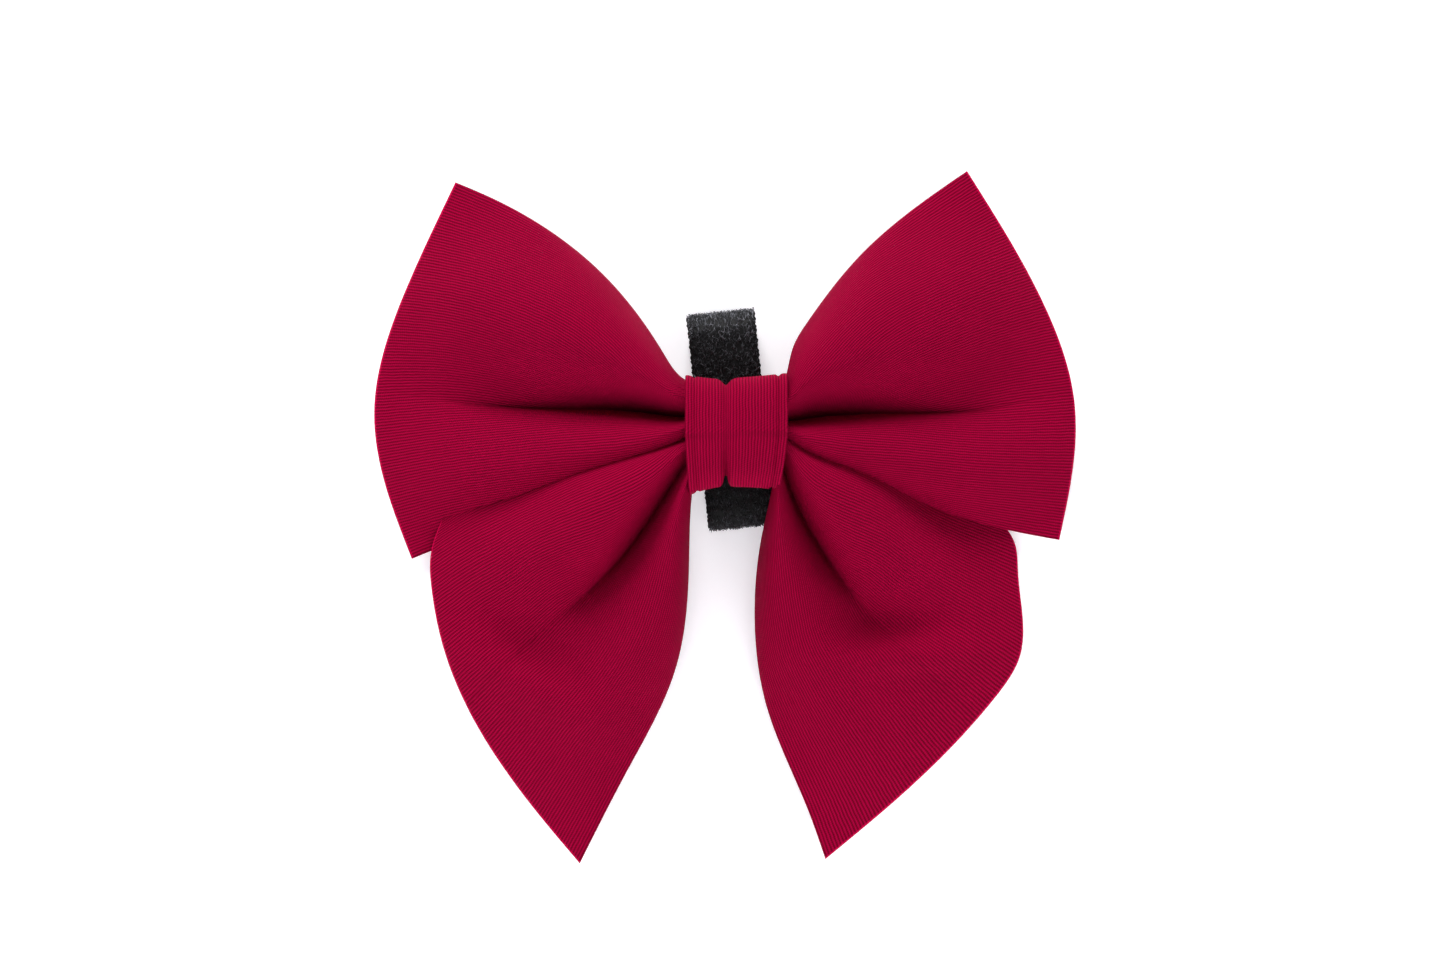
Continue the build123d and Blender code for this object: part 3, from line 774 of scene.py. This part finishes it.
# The pieces meet behind the band, where nothing shows.
upper_join, lower_join, join_gap = 5.0, -10.0, 0.05
middle_run = [(lower_join + join_gap, strap_front), (upper_join - join_gap, strap_front)]
upper_run = [(upper_join, strap_front)] + round_bend(top_centre, top_radius, 90, -90)
upper_run += [(upper_end, upper_back)]
lower_run = [(lower_end, lower_back)] + round_bend(bottom_centre, bottom_radius, 270, 90)
lower_run += [(lower_join, strap_front)]
# The upper fold gets a light grey as a painted highlight where it faces the light; the middle and the lower
# fold are kept dark as painted shade.
straight = tape_piece("strap_middle", middle_run, count=40, loops=900, seed=11, fold_light_grey=0.4)
upper = tape_piece("strap_upper_fold", upper_run, count=190, loops=5200, seed=12, fold_light_grey=1.15)
lower = tape_piece("strap_lower_fold", lower_run, count=170, loops=4600, seed=13, fold_light_grey=0.35)
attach(straight, "bow")
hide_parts("strap_centre")


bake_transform(upper)
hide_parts("strap_upper_arm")
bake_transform(lower)
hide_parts("strap_lower_arm")

# ---- sewing threads ----------------------------------------------------------------------------
# The thread that ties the pleats at the waist, wound three times round them inside the band, and
# the crimson and black stitches that hold the band, the strap and the hook patch.
thread_red = bpy.data.materials.new("crimson_thread")
thread_red.use_nodes = True
thread_black = bpy.data.materials.new("black_thread")
thread_black.use_nodes = True
for paint, colour in ((thread_red, (0.27, 0.002, 0.03)), (thread_black, (0.012, 0.012, 0.014))):
    tree = paint.node_tree
    skin = tree.nodes["Principled BSDF"]
    object_place = tree.nodes.new("ShaderNodeTexCoord")
    strands = tree.nodes.new("ShaderNodeTexNoise")
    strands.inputs["Scale"].default_value = 2600
    tree.links.new(object_place.outputs["Object"], strands.inputs["Vector"])
    tint = tree.nodes.new("ShaderNodeCombineColor")
    for channel, amount in enumerate(colour):
        level = maths(tree, "MULTIPLY_ADD", strands.outputs[0], amount, amount * 0.5)
        tree.links.new(level, tint.inputs[channel])
    tree.links.new(tint.outputs[0], skin.inputs["Base Color"])
    skin.inputs["Roughness"].default_value = 0.5
    raised = tree.nodes.new("ShaderNodeBump")
    raised.inputs["Strength"].default_value = 0.4
    raised.inputs["Distance"].default_value = 0.0001
    tree.links.new(strands.outputs[0], raised.inputs["Height"])
    tree.links.new(raised.outputs[0], skin.inputs["Normal"])

turns, wind_steps, thread_sides, thread_radius = 3, 361, 10, 0.3
half_spread, half_tall, inside_band = 2.2, 8.6, 0.8
wind = np.linspace(0, turns * 2 * math.pi, wind_steps)
waist_x = band_middle + half_spread * (wind / (turns * math.pi) - 1)
waist_f = middle_forward + (half_deep - inside_band) * rounded(np.cos(wind), loop_power)
waist_z = (knot_low + knot_high) / 2 + half_tall * rounded(np.sin(wind), loop_power)
path = np.stack([waist_x, waist_f, waist_z], axis=-1)
way_on = np.gradient(path, axis=0)
way_on /= np.linalg.norm(way_on, axis=1, keepdims=True)
side_way = np.cross(way_on, np.array([1.0, 0, 0]))
side_way /= np.linalg.norm(side_way, axis=1, keepdims=True)
third_way = np.cross(way_on, side_way)
ring = np.linspace(0, 2 * math.pi, thread_sides, endpoint=False)[None, :, None]
thread_round = np.cos(ring) * side_way[:, None] + np.sin(ring) * third_way[:, None]
thread_points = (path[:, None] + thread_radius * thread_round).reshape(-1, 3)
winding = make_mesh("waist_thread_winding", thread_points, tube_faces(wind_steps, thread_sides))
winding.data.materials.append(thread_red)
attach(winding, "bow")
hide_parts("waist_thread")

for node, paint in (
    ("band_closing_stitches", thread_red),
    ("strap_tack_stitches", thread_black),
    ("hook_patch_stitches", thread_black),
):
    stitches = frame["nodes"][node]
    stitches.data.materials.clear()
    stitches.data.materials.append(paint)

# ---- hook patch --------------------------------------------------------------------------------
# A piece of black hook tape sewn to the inner face of the upper arm. Its ground is a flat woven
# tape with rounded corners, and its face is rows of small bent hooks cut from one stiff filament.
hook_black = bpy.data.materials.new("black_hook_nylon")
hook_black.use_nodes = True
skin = hook_black.node_tree.nodes["Principled BSDF"]
skin.inputs["Base Color"].default_value = (0.011, 0.011, 0.012, 1)
skin.inputs["Roughness"].default_value = 0.42

patch_middle, patch_half_up, patch_half_over, patch_back, _ = tilted_box("hook_patch")
around = np.linspace(0, 2 * math.pi, 72, endpoint=False)
outline_over = patch_half_over * rounded(np.cos(around), 0.22)
outline_up = patch_half_up * rounded(np.sin(around), 0.22)
ground = patch_back + 0.55
levels = [(0.96, patch_back + 0.05), (1.0, patch_back + 0.15), (1.0, ground - 0.1), (0.96, ground)]
base = np.stack([
    place(patch_middle + outline_up * share, np.full(len(around), forward), outline_over * share)
    for share, forward in levels
])

# Neighbouring hooks lean up and down by turns. Each is a bent filament with five sides, drawn from
# its foot to its tip as (lean, forward).
rng = np.random.default_rng(21)
row_up, row_over = np.meshgrid(
    patch_middle + np.linspace(0.8 - patch_half_up, patch_half_up - 1.2, 21),
    np.linspace(0.6 - patch_half_over, patch_half_over - 0.6, 17), indexing="ij"
)
row_up = (row_up + rng.uniform(-0.06, 0.06, row_up.shape)).ravel()
row_over = (row_over + rng.uniform(-0.06, 0.06, row_over.shape)).ravel()
lean_way = np.where(np.arange(len(row_up)) % 2 == 0, 1.0, -1.0)
hook_shape = np.array([(0.0, 0.0), (0.0, 0.3), (0.06, 0.5), (0.2, 0.6), (0.36, 0.54), (0.4, 0.4)])
hook_shape[:, 1] += ground - 0.05
ring = np.linspace(0, 2 * math.pi, 5, endpoint=False)
lean, rise = hook_shape[None, :, :1], hook_shape[None, :, 1:]
hook_up = row_up[:, None, None] + lean_way[:, None, None] * lean + 0.09 * np.cos(ring)
hook_forward = rise + 0.05 * np.cos(ring + 0.8) * (lean > 0.05) + 0 * hook_up
hook_over = row_over[:, None, None] + 0.09 * np.sin(ring) + 0 * hook_up
hooks = place(hook_up, hook_forward, hook_over).reshape(-1, 3)
hook_number = np.arange(len(hooks)).reshape(-1, len(hook_shape), len(ring)) + base[..., 0].size
beside = np.roll(hook_number, -1, axis=2)
hook_sides = [hook_number[:, :-1], hook_number[:, 1:], beside[:, 1:], beside[:, :-1]]
hook_sides = np.stack(hook_sides, axis=-1).reshape(-1, 4)
patch_faces = tube_faces(*base.shape[:2]) + hook_sides.tolist() + hook_number[:, -1].tolist()
patch = make_mesh("hook_tape_patch", np.concatenate([base.reshape(-1, 3), hooks]), patch_faces)
patch.data.materials.append(hook_black)
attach(patch, "upper_arm")
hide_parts("hook_patch")
